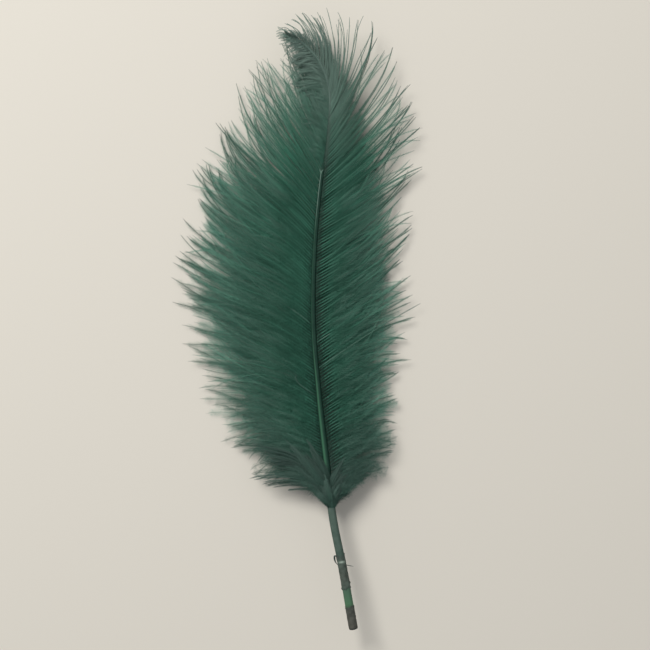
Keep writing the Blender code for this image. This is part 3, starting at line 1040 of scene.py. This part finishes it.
def build_vanes():
    grey, tip = (0.14, 0.205, 0.172), (0.06, 0.085, 0.068)
    upper = barb_material(
        "dyed_barbs", (0.025, 0.112, 0.072), (0.095, 0.26, 0.19), (0.05, 0.11, 0.08), tip, grey,
        # painted shade by the shaft, then a painted lit band
        ((0.0, 0.6), (0.2, 0.72), (0.36, 1.3), (0.6, 1.15), (1.0, 0.95)),
    )
    lower = barb_material(
        "dyed_barbs_below", (0.022, 0.095, 0.062), (0.115, 0.36, 0.27), (0.055, 0.17, 0.12), tip, grey,
        # the layers below get deeper painted shade by the shaft
        ((0.0, 0.3), (0.3, 0.35), (0.6, 0.8), (1.0, 1.0)),
    )
    for side, word in ((LEFT, "left"), (RIGHT, "right")):
        rng = np.random.default_rng(SEEDS[side])
        for place, look in LAYERS[side].items():
            material = upper if place == "top" else lower
            dressed(vane_layer(f"{word}_vane_{place}", side, look, rng).made(material))
    rng = np.random.default_rng(LOOSE_SEED)
    for loose in (tip_comb, foot_locks, strays):
        dressed(loose(rng).made(upper))
    for row in VEILS:
        dressed(veil(*row, rng).made(upper))
    dressed(tip_spray(rng).made(upper))


# The sheath's curl and its hair, as paths for hair.
CURL = ((33.6, 150, 0.05), (33.7, 165, 0.75), (32.4, 172, 1.0), (31.0, 172, 0.8), (29.6, 165, 0.15))
HAIR = ((28.8, 20, -0.05), (28.5, 8, 0.9), (28.0, 3, 2.0), (27.6, 0, 3.0))
TORN = {"far": 0.8, "pale": 0.0, "worn": 2.0}
HIGHLIGHT_FORK_TURN = 122  # where on the shaft the painted highlight line forks, in degrees


def build_shaft():
    sheath = sheath_material()
    rng = np.random.default_rng(QUILL_SEED)
    pieces = [
        build_shaft_piece(),
        sleeve("sheath_end", 0.35, 10.4, (0.12, 0.55), ((5.8, -12, 0.3),), rng, sheath),
        sleeve("sheath", 18.6, 33.6, (0.55, 0.7), ((18.9, 176, 0.35), (20.9, 4, 0.4)), rng, sheath),
        hair("sheath_curl", CURL, (0.16, 0.38, 0.38, 0.26, 0.08), sheath, **TORN),
        hair("sheath_hair", HAIR, (0.16, 0.15, 0.12, 0.06), sheath, **TORN),
    ]
    shaft = pieces[0].data.materials[0]
    # the fork is coloured with the shaft's painted highlight
    for name, turn, out in (("fork_left", 152, 0.7), ("fork_right", 80, 0.9)):
        half_way = (FORK_AT + 0.3, (HIGHLIGHT_FORK_TURN + turn) / 2, 0.4)
        path = ((FORK_AT - 0.8, HIGHLIGHT_FORK_TURN, -0.05), half_way, (FORK_AT + 1.2, turn, out))
        pieces.append(hair(name, path, (0.14, 0.2, 0.12), shaft, far=0.6, line=1.0, pale=0.55))
    for piece in pieces:
        dressed(piece)


def build_floor():
    bpy.ops.mesh.primitive_plane_add(size=3.0, location=(0, 0, 0))
    floor = bpy.context.active_object
    floor.name = "floor"
    floor.data.materials.append(Dye("plain_floor").finished((0.74, 0.70, 0.62), 0.6, 0.5))


# ---- camera and light

PHOTO_PIXELS = 650
PHOTO_SCALE = 0.45  # millimetres at the feather's height to one of the photograph's pixels
PHOTO_MIDDLE = (13.65, -2.05)  # what the photograph's middle shows
CAMERA_HEIGHT = 1000.0
SHARP_HEIGHT = 7.0  # the height at which the scale holds


def build_camera():
    data = bpy.data.cameras.new("camera")
    view = PHOTO_PIXELS * PHOTO_SCALE
    data.angle = 2 * math.atan(view / 2 / (CAMERA_HEIGHT - SHARP_HEIGHT))
    camera = bpy.data.objects.new("camera", data)
    camera.location = (PHOTO_MIDDLE[0] * MM, PHOTO_MIDDLE[1] * MM, CAMERA_HEIGHT * MM)
    bpy.context.scene.collection.objects.link(camera)
    bpy.context.scene.camera = camera


def build_light():
    data = bpy.data.lights.new("window", "AREA")
    data.shape = "DISK"
    data.size = 0.85
    data.energy = 22.0
    data.color = (1.0, 0.985, 0.96)
    lamp = bpy.data.objects.new("window", data)
    lamp.location = (-0.65, 0.85, 1.3)
    lamp.rotation_euler = (-lamp.location).to_track_quat("-Z", "Y").to_euler()
    bpy.context.scene.collection.objects.link(lamp)
    world = bpy.data.worlds.new("room")
    world.use_nodes = True
    sky = world.node_tree.nodes["Background"].inputs
    sky["Color"].default_value = (0.95, 0.97, 1.0, 1)
    sky["Strength"].default_value = 0.38
    bpy.context.scene.world = world
    bpy.context.scene.view_settings.view_transform = "Standard"


build_vanes()
build_shaft()
build_floor()
build_camera()
build_light()
